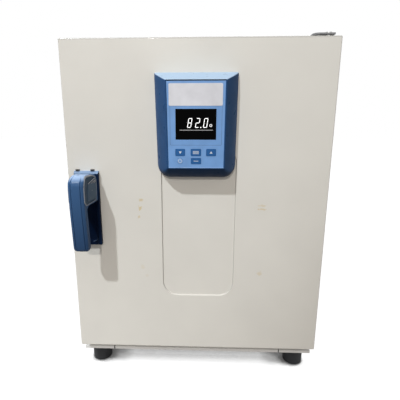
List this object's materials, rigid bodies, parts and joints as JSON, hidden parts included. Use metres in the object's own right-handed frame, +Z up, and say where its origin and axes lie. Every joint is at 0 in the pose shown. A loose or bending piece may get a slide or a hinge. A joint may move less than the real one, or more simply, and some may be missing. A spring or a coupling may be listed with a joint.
{
  "type": "laboratory oven",
  "caption": "Bench-top laboratory oven with a full-front insulated door hinged on the right, a pull-lever latch, a control unit on the door and levelling feet.",
  "frame": {"origin": "on the bench, below the middle of the whole object's box", "axes": "+X to the viewer's right facing the door, +Y from the door to the rear, +Z up"},
  "size_m": [0.53, 0.632, 0.7362],
  "materials": {
    "cabinet_paint": "semi-gloss powder coat, warm off-white",
    "rear_paint": "satin powder coat",
    "plinth_paint": "semi-gloss powder coat",
    "stainless": "brushed sheet",
    "steel_bright": "zinc plated",
    "wire_chrome": "electropolished wire",
    "hinge_dark": "dark grey paint",
    "mineral_wool": "fibre mat",
    "silicone_grey": "soft silicone",
    "rubber_black": "moulded rubber",
    "blue_dark": "satin moulded plastic",
    "blue_light": "satin film",
    "key_blue": "satin film over keys",
    "badge_white": "satin film",
    "lens_black": "polished",
    "insert_grey": "soft-touch plastic",
    "board_green": "solder mask",
    "black_plastic": "moulded",
    "motor_steel": "grey paint"
  },
  "bodies": {
    "cabinet": {"outer_casing": "cabinet_paint", "front_frame": "cabinet_paint", "rear_cover": "rear_paint", "cover_screws": "steel_bright", "base_pan": "plinth_paint", "plinth_strip": "plinth_paint", "plinth_corner_left": "plinth_paint", "plinth_corner_right": "plinth_paint", "inner_chamber": "stainless", "insulation_sides": "mineral_wool", "insulation_top": "mineral_wool", "insulation_bottom": "mineral_wool", "insulation_rear": "mineral_wool", "door_gasket": "silicone_grey", "rear_baffle": "stainless", "heater_ring": "steel_bright", "fan_motor": "motor_steel", "temperature_sensor": "steel_bright", "vent_tube": "stainless", "shelf_uprights": "stainless", "shelf_runners": "stainless", "lower_shelf": "wire_chrome", "upper_shelf": "wire_chrome", "mains_inlet": "black_plastic", "power_board": "board_green", "top_hinge_bracket": "hinge_dark", "bottom_hinge_bracket": "hinge_dark", "hinge_pins": "steel_bright", "hinge_screws": "steel_bright", "latch_keeper": "steel_bright"},
    "door": {"door_skin": "cabinet_paint", "door_inner_panel": "stainless", "door_insulation": "mineral_wool", "hinge_bushes": "black_plastic", "control_housing": "blue_dark", "control_face": "blue_light", "badge_plate": "badge_white", "display_lens": "lens_black", "display_module": "black_plastic", "keypad_mat": "silicone_grey", "control_board": "board_green", "handle_base": "blue_dark", "lever_pin": "steel_bright", "handle_clips": "black_plastic", "latch_bracket": "steel_bright"},
    "lever": {"handle_lever": "blue_dark", "handle_inserts": "insert_grey"},
    "latch": {"latch_hook": "steel_bright"},
    "fan": {"fan_impeller": "steel_bright"},
    "damper": {"vent_damper": "steel_bright"},
    "fuse": {"fuse_drawer": "black_plastic"},
    "down_key": {"key_down": "key_blue"},
    "menu_key": {"key_menu": "key_blue"},
    "up_key": {"key_up": "key_blue"},
    "enter_key": {"key_enter": "key_blue"},
    "power_key": {"key_power": "blue_light"},
    "front_left_foot": {"foot_front_left": "rubber_black"},
    "front_right_foot": {"foot_front_right": "rubber_black"},
    "rear_left_foot": {"foot_rear_left": "rubber_black"},
    "rear_right_foot": {"foot_rear_right": "rubber_black"}
  },
  "joints": [
    {"name": "door_hinge", "type": "hinge", "parent": "cabinet", "child": "door", "pos_m": [0.246, -0.225, 0.07], "axis": [0, 0, 1], "range_deg": [0, 120]},
    {"name": "lever_pull", "type": "hinge", "parent": "door", "child": "lever", "pos_m": [-0.2259, -0.265, 0.456], "axis": [-1, 0, 0], "range_deg": [0, 20], "stiffness_Nm_per_rad": 3},
    {"name": "latch_lift", "type": "hinge", "parent": "door", "child": "latch", "pos_m": [-0.2409, -0.221, 0.44], "axis": [1, 0, 0], "range_deg": [0, 15]},
    {"name": "fan_spin", "type": "hinge", "parent": "cabinet", "child": "fan", "pos_m": [0, 0.2105, 0.4], "axis": [0, 1, 0], "continuous": true},
    {"name": "damper_turn", "type": "hinge", "parent": "cabinet", "child": "damper", "pos_m": [0.105, 0.3015, 0.59], "axis": [-1, 0, 0], "range_deg": [0, 90]},
    {"name": "fuse_pull", "type": "slide", "parent": "cabinet", "child": "fuse", "axis": [0, 1, 0], "range_m": [0, 0.018]},
    {"name": "down_key_press", "type": "slide", "parent": "door", "child": "down_key", "axis": [0, 1, 0], "range_m": [0, 0.0006], "stiffness_N_per_m": 800},
    {"name": "menu_key_press", "type": "slide", "parent": "door", "child": "menu_key", "axis": [0, 1, 0], "range_m": [0, 0.0006], "stiffness_N_per_m": 800},
    {"name": "up_key_press", "type": "slide", "parent": "door", "child": "up_key", "axis": [0, 1, 0], "range_m": [0, 0.0006], "stiffness_N_per_m": 800},
    {"name": "enter_key_press", "type": "slide", "parent": "door", "child": "enter_key", "axis": [0, 1, 0], "range_m": [0, 0.0006], "stiffness_N_per_m": 800},
    {"name": "power_key_press", "type": "slide", "parent": "door", "child": "power_key", "axis": [0, 1, 0], "range_m": [0, 0.0006], "stiffness_N_per_m": 800},
    {"name": "front_left_foot_turn", "type": "hinge", "parent": "cabinet", "child": "front_left_foot", "pos_m": [-0.2343, -0.1878, 0], "axis": [0, 0, 1], "continuous": true},
    {"name": "front_right_foot_turn", "type": "hinge", "parent": "cabinet", "child": "front_right_foot", "pos_m": [0.2343, -0.1878, 0], "axis": [0, 0, 1], "continuous": true},
    {"name": "rear_left_foot_turn", "type": "hinge", "parent": "cabinet", "child": "rear_left_foot", "pos_m": [-0.2343, 0.236, 0], "axis": [0, 0, 1], "continuous": true},
    {"name": "rear_right_foot_turn", "type": "hinge", "parent": "cabinet", "child": "rear_right_foot", "pos_m": [0.2343, 0.236, 0], "axis": [0, 0, 1], "continuous": true}
  ],
  "couplings": [
    {"joint": "latch_lift", "follows": "lever_pull", "ratio": 0.75}
  ]
}
